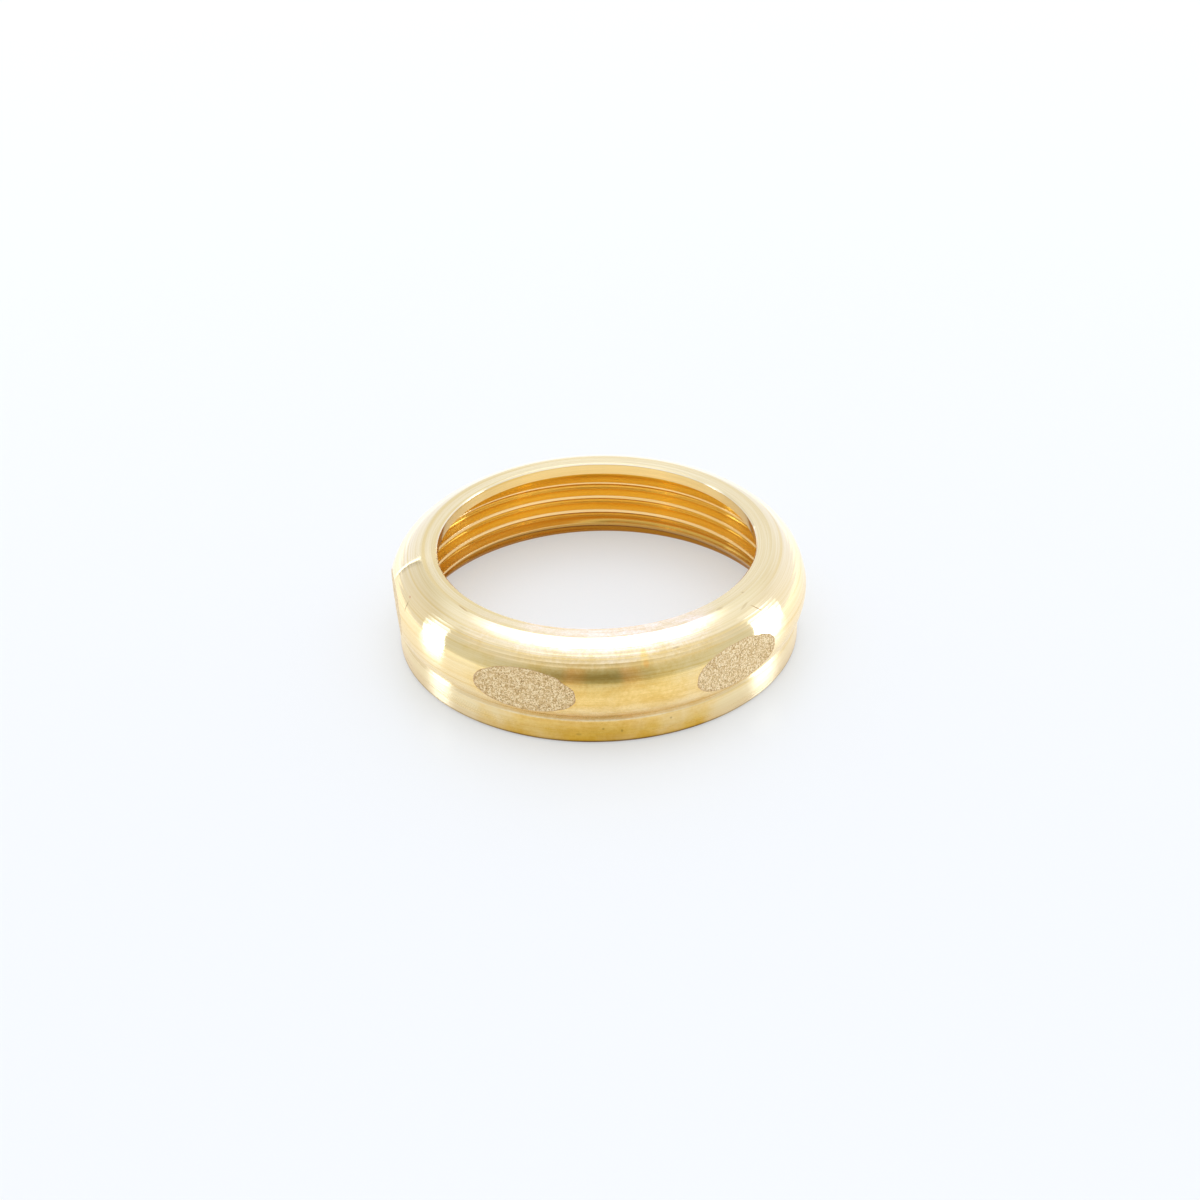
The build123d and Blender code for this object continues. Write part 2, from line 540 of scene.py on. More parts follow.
# %% Write the mesh
is_first = np.tile([True, False], rows * COLUMNS)[real][:, None]
cut_falls = np.repeat(falling.ravel(), 2)[real][:, None]
row_step = np.where(is_first, [0, 0, 1], [0, 1, 1])
first_step = np.where(cut_falls, [0, 1, 0], [0, 1, 1])
second_step = np.where(cut_falls, [1, 1, 0], [0, 1, 0])
corner_row = row_of_face[:, None] + row_step
corner_column = column_of_face[:, None] + np.where(is_first, first_step, second_step)

used, corners = np.unique(triangles.ravel(), return_inverse=True)
places = np.column_stack([
    (grid_r * np.cos(grid_theta)).ravel(),
    (grid_r * np.sin(grid_theta)).ravel(),
    grid_z.ravel(),
])[used] * MM

mesh = bpy.data.meshes.new(NODE)
mesh.vertices.add(len(places))
mesh.vertices.foreach_set("co", places.ravel())
mesh.loops.add(len(corners))
mesh.loops.foreach_set("vertex_index", corners.ravel())
mesh.polygons.add(len(triangles))
mesh.polygons.foreach_set("loop_start", np.arange(0, len(corners), 3))
mesh.update(calc_edges=True)
mesh.shade_smooth()

SURFACE_MAP = "OFBake"
turning_map = mesh.uv_layers.new(name=SURFACE_MAP)
coordinates = np.stack([uv_around[corner_row, corner_column], uv_section[corner_row, corner_column]], -1)
turning_map.uv.foreach_set("vector", coordinates.ravel().astype(np.float32))
print(len(places), "points,", len(mesh.edges), "edges")

# %% [markdown]
# Smooth shading would blur the two edges that are truly sharp: the ovals' edges and the lip's outer edge.
# They are marked sharp, as the pairs of neighbours that both lie on such a line.
# The faces are also shared out here between three finishes: what was turned outside, what was cut inside,
# and what was left as cast. Two measures go with the points, for the materials to read: how far in from
# the edge of its oval a point lies, as a share, and how deep under the thread's crests, in millimetres.

# %% Mark the sharp edges and share out the faces
TURNED, CUT, CAST = range(3)
MOUTH_FACE_ROWS = 3
lip_line = np.zeros(rows * COLUMNS, bool)
lip_line[number[on_bulge.stop - 1, :-1]] = True
ends = np.empty(len(mesh.edges) * 2, np.int32)
mesh.edges.foreach_get("vertices", ends)
ends = used[ends.reshape(-1, 2)]
sharp = edge_point[ends].all(1) | lip_line[ends].all(1)
mesh.attributes.new("sharp_edge", "BOOLEAN", "EDGE").data.foreach_set("value", sharp)

wall_start = first_row["lip"] + np.argmax(lip_run[:, 1] < height - tube_hole_chamfer)
finish = np.where(row_of_face >= wall_start, CUT, TURNED)
finish = np.where(row_of_face >= rows - MOUTH_FACE_ROWS, TURNED, finish)
finish = np.where(skin_point[triangles].all(1), CAST, finish)
mesh.polygons.foreach_set("material_index", finish.astype(np.int32))

measures = {"in_from_edge": np.zeros((rows, COLUMNS)), "under_crest": np.ones((rows, COLUMNS))}
measures["in_from_edge"][on_bulge] = (1 - from_middle).clip(0)
measures["under_crest"][in_thread] = grid_r[in_thread] - bore_radius
for name, values in measures.items():
    values = values.ravel()[used].astype(np.float32)
    mesh.attributes.new(name, "FLOAT", "POINT").data.foreach_set("value", values)

nut = bpy.data.objects.new("nut", mesh)
bpy.context.scene.collection.objects.link(nut)
print(sharp.sum(), "sharp edges,", (finish == CAST).sum(), "faces of cast skin")

# %% [markdown]
# Colours are written as sRGB, as a colour picker shows them, and turned to the linear values that light adds
# in. All the materials are built by one small function that adds a node, sets it up and links its inputs.
# A node has more sockets than it shows: a setting such as its operation decides which are in use.
# A list of inputs follows the order that the node shows. For a map range that is the value, the range that it
# comes from and the range that it goes to. For a mix it is the share, and then the two that are mixed.

# %% Helpers for materials
WHITE = (1, 1, 1, 1)


def linear(code):
    """A hex colour as linear red, green, blue and alpha: the sRGB curve undone."""
    parts = np.array([int(code[i:i + 2], 16) for i in (1, 3, 5)]) / 255
    parts = np.where(parts <= 0.04045, parts / 12.92, ((parts + 0.055) / 1.055) ** 2.4)
    return (*parts.tolist(), 1)


def add(tree, kind, inputs=(), **settings):
    """Adds a node of a kind, with its settings and its inputs, which are given by name or as a list in order.

    An input is a value, a socket that it is linked to, or a node, whose first output in use is meant."""
    node = tree.nodes.new("ShaderNode" + kind)
    for name, value in settings.items():
        setattr(node, name, value)
    sockets = [socket for socket in node.inputs if socket.enabled]
    if isinstance(inputs, dict):
        sockets = [next(socket for socket in sockets if socket.name == name) for name in inputs]
        inputs = inputs.values()
    for socket, value in zip(sockets, inputs):
        if isinstance(value, bpy.types.Node):
            value = next(output for output in value.outputs if output.enabled)
        if isinstance(value, bpy.types.NodeSocket):
            tree.links.new(value, socket)
        else:
            socket.default_value = value
    return node


def fill_ramp(node, stops, start=0, end=1):
    """Gives a colour ramp its stops: a place from start to end, with a hex colour, a linear one or a grey."""
    elements = node.color_ramp.elements
    while len(elements) < len(stops):
        elements.new(0.5)
    for element, (where, colour) in zip(elements, stops):
        element.position = (where - start) / (end - start)
        tone = linear(colour)[:3] if isinstance(colour, str) else np.broadcast_to(colour, 3).tolist()
        element.color = (*tone, 1)
    return node


def level_part(tree, way):
    """The level part of a direction, as long as 1: its height is taken out, and the rest drawn out again."""
    flat = add(tree, "VectorMath", [way, (1, 1, 0)], operation="MULTIPLY")
    return add(tree, "VectorMath", [flat], operation="NORMALIZE")


def section_share(tree):
    """How far along the section a point lies, as a share of the whole."""
    return add(tree, "SeparateXYZ", [add(tree, "UVMap", uv_map=SURFACE_MAP)]).outputs["Y"]


def new_material(name):
    """A node material without nodes, and its tree."""
    material = bpy.data.materials.new(name)
    material.use_nodes = True
    material.node_tree.nodes.clear()
    return material, material.node_tree


print("brass in linear values", [round(v, 3) for v in linear("#F2E1B4")[:3]])

# %% [markdown]
# A turned surface is covered in fine rings, each a few hundredths of a millimetre wide. They spread a
# highlight across themselves, up and down, and hardly at all along themselves. That is anisotropy: the
# roughness is one number, and the anisotropic setting makes it small along the rings and large across them.
# The rings that the eye can tell apart are noise that is stretched round the nut, paler on a ridge and warmer
# in a groove. They are coarser than real, to show at this distance.
# Where a slower noise comes near its peaks, a single thin line is scored a long way round.

# %% Lay the marks of the lathe round the nut
RIDGE_TONE, GROOVE_TONE, LINE_TONE = (1.03, 1.035, 1.06, 1), (0.97, 0.94, 0.86, 1), (0.95, 0.89, 0.72, 1)
LINE_DEPTH = -0.3
OUTER_RING, INNER_RING = 0.18, 0.2


def lathe_marks(tree, ring_width, ring_run, detail):
    """Noise stretched round the nut: rings of a width in mm, that change over a run of so many radians.

    It is read at the angle's cosine and sine over the run, so it closes on itself without a seam, and at
    the length along the section over the width."""
    heading = level_part(tree, add(tree, "TexCoord").outputs["Object"])
    slow = add(tree, "VectorMath", [heading, 1 / ring_run], operation="SCALE")
    parts = add(tree, "SeparateXYZ", [slow])
    way = add(tree, "Math", [section_share(tree), section_total / ring_width], operation="MULTIPLY")
    spot = add(tree, "CombineXYZ", [parts.outputs["X"], parts.outputs["Y"], way])
    return add(tree, "TexNoise", {"Vector": spot, "Scale": 1.0, "Detail": detail})


def turned_shader(tree, tone, roughness, ring_width, mark_depth):
    """Ends a turned metal's material with a tone, a roughness and rings, wide in mm and deep in metres."""
    fine = lathe_marks(tree, ring_width, 0.8, 3.0)
    broad = lathe_marks(tree, ring_width * 2.5, 2.5, 1.0)
    line = add(tree, "MapRange", [broad, 0.62, 0.68])
    pale_part = add(tree, "MapRange", [fine, 0.36, 0.64])
    streaks = add(tree, "Mix", [pale_part, GROOVE_TONE, RIDGE_TONE], data_type="RGBA")
    lined = add(tree, "Mix", [line, streaks, LINE_TONE], data_type="RGBA")
    streaked = add(tree, "VectorMath", [tone, lined], operation="MULTIPLY")
    ridges = add(tree, "Math", [line, LINE_DEPTH, fine], operation="MULTIPLY_ADD")
    bump = add(tree, "Bump", {"Height": ridges, "Distance": mark_depth, "Strength": 1.0})
    patchy = add(tree, "MapRange", [fine, 0.3, 0.7, 0.88, 1.12])
    rough = add(tree, "Math", [roughness, patchy], operation="MULTIPLY")
    tangent = add(tree, "Tangent", direction_type="UV_MAP", uv_map=SURFACE_MAP)
    shader = add(tree, "BsdfPrincipled", {
        "Base Color": streaked, "Metallic": 1.0, "Roughness": rough, "Anisotropic": 1.0,
        "Anisotropic Rotation": 0.25, "Normal": bump, "Tangent": tangent,
    })
    add(tree, "OutputMaterial", [shader])


print("rings", OUTER_RING, "mm wide outside and", INNER_RING, "mm inside")

# %% [markdown]
# Yellow brass, turned and left bare: a pale gold metal. Where the cut is fresh and smooth it is palest, as on
# the lip. It is deeper on the skirt, and deeper still and tarnished on one side, where hands have held it.
# Low on the skirt the tones are painted darker towards the bottom, and the lowest edge dark brown: that is
# painted shade, the floor's contact shadow as the skirt mirrors it.
# One ramp along the section gives each height its own tone, and a second ramp holds the tones of the side
# that hands have held, with the same painted shade low down and a painted highlight on the skirt's top
# corner.
# The lathe made the outside in two passes. The tool that came up from the mouth left a coarser surface than
# the one that came down from the lip, and the two meet a little above the middle of the bulge.
# A third ramp holds the roughness for these finishes. Where hands have held it, the tarnish is patchy too:
# short streaks and fine blotches of noise make some patches warmer and some paler.

# %% Tones and finishes of turned brass
foot = length[on_bulge.start] - GROOVE_LEAD
at_lip = length[on_bulge.stop - 1]
at_wall = length[wall_start]
passes_meet = foot + 5.75

# The first stops paint the lowest edge and its chamfer dark, and the skirt darker towards its bottom: painted
# shade of the contact with the floor.
pale_tones = [
    (0, "#A98A55"), (foot - 3.42, "#A98A55"), (foot - 3.25, "#E7D0A3"), (foot - 1, "#F3E0B0"),
    (foot, "#F6E2B6"), (foot + 1.2, "#F4DDA9"), (foot + 8, "#F6E0AC"), (foot + 10, "#F4E2B6"),
    (at_lip, "#F1E0B2"), (at_wall - 0.2, "#F4E4B8"), (at_wall, "#FBEFD0"),
]
# Here too the lowest stops are painted shade of the contact with the floor, and the near-white stop just
# under the groove is a painted highlight on the skirt's top corner. The rest is tarnish.
handled_tones_with_painted_light = [
    (0, "#74521E"), (foot - 3.42, "#74521E"), (foot - 3.25, "#D8AC3C"), (foot - 2.2, "#DFB955"),
    (foot - 0.52, "#EFC974"), (foot - 0.4, "#FFF4CE"), (foot - 0.25, "#F3D28C"), (foot + 0.2, "#F0D090"),
    (foot + 1.3, "#F4DBA1"), (foot + 3, "#EECC7D"), (foot + 7.5, "#F6D990"), (foot + 9.5, "#F9E4BA"),
    (at_lip, "#FBEBD8"),
]
finishes = [
    (0, 0.30), (foot - 0.1, 0.30), (foot + 0.4, 0.22), (passes_meet - 0.1, 0.22), (passes_meet + 0.1, 0.09),
    (at_lip - 0.3, 0.10), (at_lip + 0.1, 0.18),
]

turned_brass, tree = new_material("turned_brass")
share = section_share(tree)
pale, handled_with_painted_light, roughness = (
    fill_ramp(add(tree, "ValToRGB", [share]), stops, end=section_total)
    for stops in (pale_tones, handled_tones_with_painted_light, finishes)
)

place = add(tree, "TexCoord").outputs["Object"]
handled_side = (math.sin(camera_turn), -math.cos(camera_turn), 0)
facing = add(tree, "VectorMath", [level_part(tree, place), handled_side], operation="DOT_PRODUCT")
cloud = add(tree, "TexNoise", {"Vector": place, "Scale": 1 / (5 * MM), "Detail": 3.0})
uneven = add(tree, "Math", [cloud, 0.5, facing], operation="MULTIPLY_ADD")
held = add(tree, "MapRange", [uneven, 0.98, 1.27], interpolation_type="SMOOTHSTEP")
tone = add(tree, "Mix", [held, pale, handled_with_painted_light], data_type="RGBA")
specks = add(tree, "TexNoise", {"Vector": place, "Scale": 1 / (0.5 * MM), "Detail": 4.0, "Roughness": 0.7})
both = add(tree, "Math", [lathe_marks(tree, 0.9, 0.11, 4.0), specks], operation="ADD")
mottle = add(tree, "MapRange", [both, 0.82, 1.18])
warmth = add(tree, "Mix", [mottle, (0.95, 0.90, 0.76, 1), (1.06, 1.09, 1.2, 1)], data_type="RGBA")
patina = add(tree, "Mix", [held, WHITE, warmth], data_type="RGBA")
tone = add(tree, "VectorMath", [tone, patina], operation="MULTIPLY")
print("the two passes meet", round(passes_meet - foot, 2), "mm up the bulge")

# %% [markdown]
# A used or roughly stored nut carries marks: a nick on the lip's edge, a few spots and smears, a scratch, a
# streak with a tint beside it, specks on the skirt. Beside them a pale band with an orange core is painted
# across the rings on the camera's side: a painted reflection. They lie where the photograph shows them. Each
# is an oval mask on the unrolled surface, given by its angle (-90 is the camera's side), its height up the
# bulge, its half sizes in mm and how it leans, with the strength and the colour that it is laid on with.

# %% Put the marks on


def mark(tree, degrees, along_section, half_wide, half_high, lean):
    """A mask that is 1 in the middle of an oval mark and fades to 0 at its outline.

    A length from the middle, in units of the half sizes, is 1 on the outline."""
    share_round = (math.radians(degrees) + camera_turn + math.pi) / (2 * math.pi)
    middle = (share_round, along_section / section_total, 0)
    unrolled = add(tree, "UVMap", uv_map=SURFACE_MAP)
    apart = add(tree, "VectorMath", [unrolled, middle], operation="SUBTRACT")
    in_mm = (2 * math.pi * skirt_radius, section_total, 0)
    flat_map = add(tree, "VectorMath", [apart, in_mm], operation="MULTIPLY")
    leaned = add(tree, "VectorRotate", {
        "Vector": flat_map, "Angle": math.radians(-lean),
    }, rotation_type="Z_AXIS")
    sizes = (1 / half_wide, 1 / half_high, 0)
    scaled = add(tree, "VectorMath", [leaned, sizes], operation="MULTIPLY")
    far = add(tree, "VectorMath", [scaled], operation="LENGTH")
    return add(tree, "MapRange", [far, 1.0, 0.35], interpolation_type="SMOOTHSTEP")


marks = [
    ("nick", -137, 11.75, 1.6, 0.13, -6, 0.55, "#B9853F"),
    ("spot", -49, 11.8, 0.9, 0.3, 0, 0.25, "#B08A55"),
    ("spot", -37, 12.0, 0.25, 0.2, 0, 0.35, "#9A6A35"),
    ("smear", -41.5, 10.4, 1.3, 0.2, 10, 0.3, "#B4935A"),
    ("smear", -68.5, 9.0, 0.7, 0.16, 0, 0.35, "#9F7C48"),
    ("scratch", -38.3, 9.3, 1.2, 0.09, -55, 0.8, "#A9742F"),
    ("streak", -156.5, 7.2, 0.18, 1.0, 8, 0.5, "#8E7B4C"),
    ("tint", -157.5, 8.4, 0.35, 0.2, 0, 0.5, "#D58E63"),
    # The next two, a pale band with an orange core across the rings, are a painted reflection.
    ("stripe", -77.8, 8.4, 0.7, 1.9, 0, 0.75, "#FFDE8C"),
    ("tint", -77.6, 7.8, 0.5, 0.7, 0, 0.5, "#F9B85C"),
    ("speck", -89.5, -1.6, 0.22, 0.2, 0, 0.45, "#7E5E28"),
    ("speck", -84.5, -2.0, 0.2, 0.3, 0, 0.45, "#7E5E28"),
    ("speck", -71, -1.2, 0.2, 0.2, 0, 0.4, "#7E5E28"),
    ("speck", -96, -2.4, 0.5, 0.25, 0, 0.3, "#8A6A30"),
]
for kind, degrees, up_bulge, half_wide, half_high, lean, strength, code in marks:
    mask = mark(tree, degrees, foot + up_bulge, half_wide, half_high, lean)
    amount = add(tree, "Math", [mask, strength], operation="MULTIPLY", label=kind)
    tone = add(tree, "Mix", [amount, tone, linear(code)], data_type="RGBA")
ring_depth = add(tree, "MapRange", [
    share, (foot - 0.4) / section_total, (foot + 0.4) / section_total, 0.010 * MM, 0.002 * MM,
])
turned_shader(tree, tone, roughness, OUTER_RING, ring_depth)
print(len(marks), "marks on", turned_brass.name)

# %% [markdown]
# Inside, the same brass lights itself: light that reaches the eye from a flank has been thrown from brass to
# brass two or three times, and each time it loses blue. So the deep orange needs no deep colour, only true
# reflections. The crests mirror the white floor once, and they are rubbed smooth and bright, so they show as
# thin pale lines. The flanks are rougher than the crests. The roots are painted darker and warmer: painted
# shade. The wall of the lip is as pale as the crests, and down the last turns to the countersunk mouth the
# tones are painted darker: painted shade near the floor.

# %% Brass cut inside
below_seat = under_top - (lip_underside - 0.5)
at_mouth = under_top - MOUTH_OVER_BORE
# The last stops darken the lowest turns and the mouth: painted shade near the floor.
cut_tones = [
    (at_wall, "#FFF5D4"), (at_wall + 1.6, "#FFEFC8"), (below_seat, "#FFE084"), (at_mouth - 3.5, "#FAD268"),
    (at_mouth - 1.5, "#E9BE60"), (at_mouth + 0.5, "#B98A3C"),
]

cut_brass, tree = new_material("thread_cut_brass")
share = section_share(tree)
by_height = fill_ramp(add(tree, "ValToRGB", [share]), cut_tones, end=section_total)
depth = add(tree, "Attribute", attribute_name="under_crest").outputs["Fac"]
rubbed = add(tree, "MapRange", [depth, 0.10, 0.02])
# The roots are painted darker and warmer: painted shade.
root = add(tree, "MapRange", [depth, 0.55, 1.0])
root_shade_tint = add(tree, "Mix", [root, WHITE, (0.93, 0.80, 0.50, 1)], data_type="RGBA")
root_shaded = add(tree, "VectorMath", [by_height, root_shade_tint], operation="MULTIPLY")
tone = add(tree, "Mix", [rubbed, root_shaded, linear("#FCDC9C")], data_type="RGBA")
flank_rough = add(tree, "MapRange", [
    share, (at_wall + 2) / section_total, (at_wall + 3) / section_total, 0.16, 0.20,
])
cut_rough = add(tree, "Mix", [rubbed, flank_rough, 0.12], data_type="FLOAT")
turned_shader(tree, tone, cut_rough, INNER_RING, 0.003 * MM)
print("made", cut_brass.name)

# %% [markdown]
# As-cast brass keeps the print of the sand: grains about a seventh of a millimetre across, some bright where
# a peak was rubbed, some dark where a pit holds dirt. Each grain is a cell of a Voronoi pattern with its own
# tone. It is metal too, but matt. Along the rim of each oval the tool tore the skin and left a thin, rusty
# line.

# %% As-cast brass skin
SAND_GRAIN = 0.14
skin_tones = [(0.40, "#886536"), (0.50, "#C1A069"), (0.82, "#E3C895"), (1.0, "#F8E8C2")]

cast_brass, tree = new_material("sand_cast_brass")
place = add(tree, "TexCoord").outputs["Object"]
grains = add(tree, "TexVoronoi", {"Vector": place, "Scale": 1 / (SAND_GRAIN * MM), "Randomness": 1.0})
own_tone = add(tree, "SeparateXYZ", [grains.outputs["Color"]])
cloud = add(tree, "TexNoise", {
    "Vector": place, "Scale": 1.6 / (SAND_GRAIN * MM), "Detail": 2.0, "Roughness": 0.6,
})
mixed = add(tree, "Math", [own_tone, 0.6, cloud], operation="MULTIPLY_ADD")
colours = fill_ramp(add(tree, "ValToRGB", [mixed]), skin_tones)
inwards = add(tree, "Attribute", attribute_name="in_from_edge").outputs["Fac"]
ragged = add(tree, "Math", [cloud, -0.05, inwards], operation="MULTIPLY_ADD")
torn = add(tree, "MapRange", [ragged, 0.014, -0.016, 0, 0.35])
rimmed = add(tree, "Mix", [torn, colours, linear("#A8682C")], data_type="RGBA")
relief = add(tree, "Math", [grains.outputs["Distance"], cloud], operation="ADD")
bump = add(tree, "Bump", {"Height": relief, "Distance": 0.018 * MM, "Strength": 1.0})
shader = add(tree, "BsdfPrincipled", {
    "Base Color": rimmed, "Metallic": 1.0, "Roughness": 0.62, "Normal": bump,
})
add(tree, "OutputMaterial", [shader])
for material in (turned_brass, cut_brass, cast_brass):
    mesh.materials.append(material)
print("three finishes on the nut")

# %% [markdown]
# The nut lies on a sheet of white satin acrylic, as the faint mirror images of the lights below it show.
# The floor is a plain disc, so wide that only a low view sees where it ends, as a faint line. From below it
# lets the view through. A part of its white is light of its own, so that the shadows stay as pale as in the
# photograph. The metal mirrors it with a sharper and stronger sheen than the camera sees on it.

# %% The floor
FLOOR_RADIUS, FLOOR_CORNERS = 1.5, 96
FLOOR_GLOW, MIRRORED_GLOW = 0.45, 0.50
circle = np.linspace(0, 2 * math.pi, FLOOR_CORNERS, endpoint=False)
rim = FLOOR_RADIUS * np.column_stack([np.cos(circle), np.sin(circle), np.zeros(FLOOR_CORNERS)])
floor_mesh = bpy.data.meshes.new("floor")
floor_mesh.from_pydata(rim.tolist(), [], [list(range(FLOOR_CORNERS))])
floor = bpy.data.objects.new("floor", floor_mesh)
floor.location.z = -0.01 * MM
bpy.context.scene.collection.objects.link(floor)

acrylic, tree = new_material("white_satin_acrylic")
lit_sheet = add(tree, "BsdfPrincipled", {
    "Base Color": linear("#BABABA"), "Emission Color": linear("#FFFFFF"), "Emission Strength": MIRRORED_GLOW,
    "Roughness": 0.12, "IOR": 1.49, "Specular IOR Level": 1.0,
})
pale_sheet = add(tree, "BsdfPrincipled", {
    "Base Color": linear("#B1B1AF"), "Emission Color": linear("#FBFDFB"), "Emission Strength": FLOOR_GLOW,
    "Roughness": 0.28, "IOR": 1.49, "Specular IOR Level": 0.2,
})
path = add(tree, "LightPath")
sheet = add(tree, "MixShader", [path.outputs["Is Camera Ray"], lit_sheet, pale_sheet])
behind = add(tree, "NewGeometry").outputs["Backfacing"]
both_ways = add(tree, "MixShader", [behind, sheet, add(tree, "BsdfTransparent")])
add(tree, "OutputMaterial", [both_ways])
floor_mesh.materials.append(acrylic)
print("floor laid")

# %% [markdown]
# Metal shows its surroundings, so the light is made as a room and not as a few lamps. The photograph tells
# what stood where: each point of the bulge mirrors one direction. It is white overhead and behind the nut,
# pale at the sides, and dark and warm on the camera's side up to a height of some thirty degrees.
# The room is three gradients over the height angle, blended by the heading round the nut.

# %% The room
world = bpy.data.worlds.new("room")
bpy.context.scene.world = world
world.use_nodes = True
tree = world.node_tree
tree.nodes.clear()
way = add(tree, "TexCoord").outputs["Generated"]
turned_back = add(tree, "VectorRotate", {
    "Vector": way, "Angle": -camera_turn, "Axis": (0, 0, 1),
}, rotation_type="AXIS_ANGLE")
high_part = add(tree, "SeparateXYZ", [turned_back]).outputs["Z"]
climb = add(tree, "Math", [high_part], operation="ARCSINE")
climb = add(tree, "Math", [climb, 2 / math.pi], operation="MULTIPLY")
level_way = add(tree, "SeparateXYZ", [level_part(tree, turned_back)])
sideways, backwards = level_way.outputs["X"], level_way.outputs["Y"]

overhead_tone = (1.10, 1.18, 1.40)
camera_side_stops = [
    (2, (0.42, 0.42, 0.33)), (10, (0.34, 0.33, 0.26)), (18, (0.29, 0.28, 0.22)), (27, (0.40, 0.39, 0.32)),
    (36, (0.57, 0.56, 0.56)), (46, (0.80, 0.81, 0.90)), (56, (0.95, 1.04, 1.35)), (80, overhead_tone),
]
side_stops = [
    (2, (0.76, 0.80, 0.80)), (25, (0.75, 0.79, 0.84)), (35, (0.83, 0.85, 0.94)), (46, (0.93, 0.97, 1.08)),
    (56, (1.02, 1.09, 1.30)), (80, overhead_tone),
]
back_stops = [
    (2, (1.03, 1.11, 1.42)), (15, (1.02, 1.08, 1.32)), (25, (0.99, 1.03, 1.20)), (35, (0.94, 0.96, 1.05)),
    (46, (1.00, 1.05, 1.18)), (58, (1.08, 1.13, 1.28)), (80, overhead_tone),
]
to_side_stops = [
    (-0.95, 1.0), (-0.75, 0.75), (-0.5, 0.3), (-0.3, 0.04), (0.17, 0.0), (0.36, 0.35), (0.52, 0.78),
    (0.97, 1.0),
]
near_tone, side_tone, back_tone = (
    fill_ramp(add(tree, "ValToRGB", [climb]), stops, end=90)
    for stops in (camera_side_stops, side_stops, back_stops)
)
across_room = add(tree, "Math", [sideways, 0.5, 0.5], operation="MULTIPLY_ADD")
to_side = fill_ramp(add(tree, "ValToRGB", [across_room]), to_side_stops, start=-1)
near_half = add(tree, "Mix", [to_side, near_tone, side_tone], data_type="RGBA")
far_side = add(tree, "MapRange", [backwards, -0.12, 0.12], interpolation_type="SMOOTHSTEP")
walls = add(tree, "Mix", [far_side, near_half, back_tone], data_type="RGBA")
print("room made of", len(camera_side_stops) + len(side_stops) + len(back_stops), "tones")

# %% [markdown]
# Three things break the even walls. Overhead hangs a bright sheet that leans a little to the back. At the
# back on the left two sheets of the tent don't quite meet: a bright slit with a dark edge leans there, which
# the left of the bulge shows as a thin bright line over a dark one, and the sheet beyond it is dimmer. And
# low on the camera's side hangs a dark strip between two warm ones.
# On a surface of rings, a mirror image is drawn out across them. The slit shows as a clean line straight
# across, so it is placed by its angle to a level direction: all that mirrors there from one line across the
# rings shares it.

# %% The slit, the dim sheet, the strips and the overhead sheet
slit_way = (-0.139, 0.990, 0)
SLIT_ANGLE, SLIT_FROM, SLIT_TO = 31.4, -2, 8
slit_stops = [
    (-0.5, 1.0), (-0.3, 2.4), (0.25, 2.4), (0.45, (0.52, 0.50, 0.43)), (1.4, (0.66, 0.63, 0.55)),
    (3.0, (0.86, 0.84, 0.77)),
]
from_slit = add(tree, "VectorMath", [turned_back, slit_way], operation="DOT_PRODUCT")
from_slit = add(tree, "Math", [from_slit], operation="ARCCOSINE")
over_slit = add(tree, "MapRange", [
    from_slit, math.radians(SLIT_ANGLE + SLIT_FROM), math.radians(SLIT_ANGLE + SLIT_TO),
])
slit = fill_ramp(add(tree, "ValToRGB", [over_slit]), slit_stops, SLIT_FROM, SLIT_TO)
slit_top = add(tree, "MapRange", [high_part, 0.76, 0.60], interpolation_type="SMOOTHSTEP")
on_left = add(tree, "MapRange", [sideways, -0.1, -0.35])
shown_slit = add(tree, "Math", [slit_top, far_side], operation="MULTIPLY")
shown_slit = add(tree, "Math", [shown_slit, on_left], operation="MULTIPLY")
in_corner = add(tree, "Mix", [shown_slit, WHITE, slit], data_type="RGBA")
dimmed = add(tree, "VectorMath", [walls, in_corner], operation="MULTIPLY")

STRIPS_FROM, STRIPS_TO = -114, -64
strip_stops = [
    (-111, 1.0), (-106, (1.3, 1.04, 0.9)), (-100, (1.2, 1.02, 0.9)), (-96, (0.95, 0.97, 0.93)),
    (-81, (0.90, 0.94, 0.88)), (-77, (1.25, 1.02, 0.9)), (-71, (1.2, 1.04, 0.9)), (-66, 1.0),
]
heading = add(tree, "Math", [backwards, sideways], operation="ARCTAN2")
over_strips = add(tree, "MapRange", [heading, math.radians(STRIPS_FROM), math.radians(STRIPS_TO)])
strips = fill_ramp(add(tree, "ValToRGB", [over_strips]), strip_stops, STRIPS_FROM, STRIPS_TO)
strips_top = add(tree, "MapRange", [high_part, 0.68, 0.5], interpolation_type="SMOOTHSTEP")
low_strips = add(tree, "Mix", [strips_top, WHITE, strips], data_type="RGBA")
dimmed = add(tree, "VectorMath", [dimmed, low_strips], operation="MULTIPLY")

OVERHEAD_TILT, OVERHEAD_REACH, OVERHEAD_EDGE = 12, 18, 14
overhead_way = (0, math.sin(math.radians(OVERHEAD_TILT)), math.cos(math.radians(OVERHEAD_TILT)))
near_overhead = add(tree, "VectorMath", [turned_back, overhead_way], operation="DOT_PRODUCT")
overhead = add(tree, "MapRange", [
    near_overhead, math.cos(math.radians(OVERHEAD_REACH + OVERHEAD_EDGE)),
    math.cos(math.radians(OVERHEAD_REACH)),
], interpolation_type="SMOOTHSTEP")
room = add(tree, "Mix", [overhead, dimmed, (2.1, 2.2, 2.48, 1)], data_type="RGBA")
print("overhead sheet", 2 * (OVERHEAD_REACH + OVERHEAD_EDGE), "degrees across")

# %% [markdown]
# The metal mirrors that room. The camera itself sees one pale tone behind the floor, from every side.

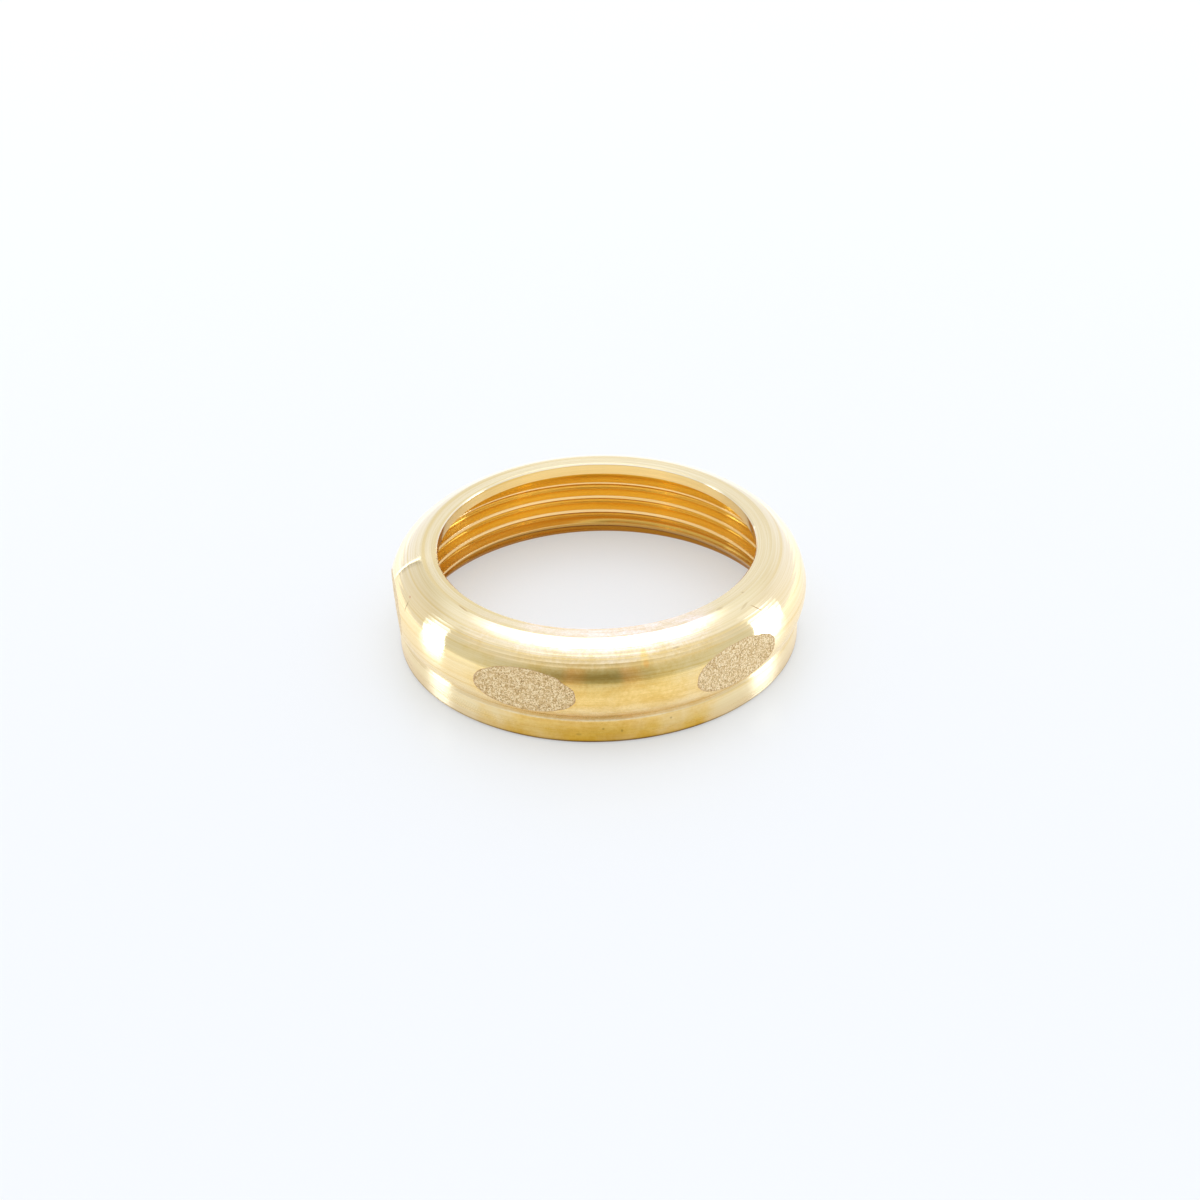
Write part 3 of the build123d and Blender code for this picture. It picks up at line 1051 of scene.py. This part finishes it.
# %% What the camera sees behind the floor
path = add(tree, "LightPath")
straight = add(tree, "Math", [
    path.outputs["Is Camera Ray"], path.outputs["Is Transmission Ray"],
], operation="MAXIMUM")
shown = add(tree, "Mix", [straight, room, linear("#FAFBFF")], data_type="RGBA")
background = add(tree, "Background", [shown, 1.0])
add(tree, "OutputWorld", [background])
print("background set")

# %% [markdown]
# The two soft boxes stand on the table at the left and at the right. Each makes a tall highlight on the
# bulge, with one sharp edge towards the camera, and the same again on the skirt. A flat area lamp does the
# same: its outline is its mirror image, and its brightness is its power over its area and pi.
# The boxes lean back a little, and fade upwards and away from the camera, so each is a grid of lamps, the
# brightest at the corner that is low and near. They show in the metal and the floor's sheen only: the room
# alone lights the floor, and keeps its shadows pale.

# %% The soft boxes
BOX_DISTANCE, BOX_LEAN = 0.5, 14
BOX_PARTS = [(0.0, 0.125, 8.6), (0.125, 0.19, 4.2), (0.19, 0.30, 1.2), (0.30, 0.44, 0.3)]
BOX_SIDES = [(-0.5, 0.22, 1.0), (0.22, 0.38, 0.5), (0.38, 0.56, 0.2)]
BOX_TONE = (0.60, 0.79, 1.20)


def soft_box(name, middle_degrees, wide_degrees):
    """A grid of upright area lamps round one heading, seen from the nut's axis. Returns its width in mm.

    It is as wide as twice its distance times the tangent of half its angle. A lamp's power is its brightness
    times its area times pi."""
    way = math.radians(middle_degrees) + camera_turn
    outward = np.array([math.cos(way), math.sin(way), 0])
    lean = math.radians(math.copysign(BOX_LEAN, math.cos(math.radians(middle_degrees))))
    level_side = np.cross((0, 0, 1), outward)
    sideways = math.cos(lean) * level_side - math.sin(lean) * np.array([0, 0, 1])
    upward = np.cross(outward, sideways)
    width = 2 * BOX_DISTANCE * math.tan(math.radians(wide_degrees) / 2)
    away = math.copysign(width, math.cos(math.radians(middle_degrees)))
    for (bottom, top, brightness), (near, far, dimming) in itertools.product(BOX_PARTS, BOX_SIDES):
        lamp = bpy.data.lights.new(name, "AREA")
        lamp.shape, lamp.size, lamp.size_y = "RECTANGLE", width * (far - near), top - bottom
        lamp.color = BOX_TONE
        lamp.energy = brightness * dimming * lamp.size * lamp.size_y * math.pi
        box = bpy.data.objects.new(name, lamp)
        spot = outward * BOX_DISTANCE + upward * (bottom + top) / 2 + sideways * away * (near + far) / 2
        frame_of_box = np.column_stack([sideways, upward, outward])
        box.matrix_world = Matrix.Translation(spot) @ Matrix(frame_of_box.tolist()).to_4x4()
        box.visible_camera = False
        box.visible_diffuse = False
        bpy.context.scene.collection.objects.link(box)
    return round(width / MM)


box_widths = [soft_box("left soft box", 179, 15.5), soft_box("right soft box", 4.5, 21.5)]
print("soft boxes", box_widths, "mm wide")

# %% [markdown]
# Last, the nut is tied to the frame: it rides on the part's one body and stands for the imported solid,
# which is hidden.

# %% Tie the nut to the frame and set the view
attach(nut, "root")
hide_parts(NODE)
bpy.context.scene.view_settings.view_transform = "Standard"
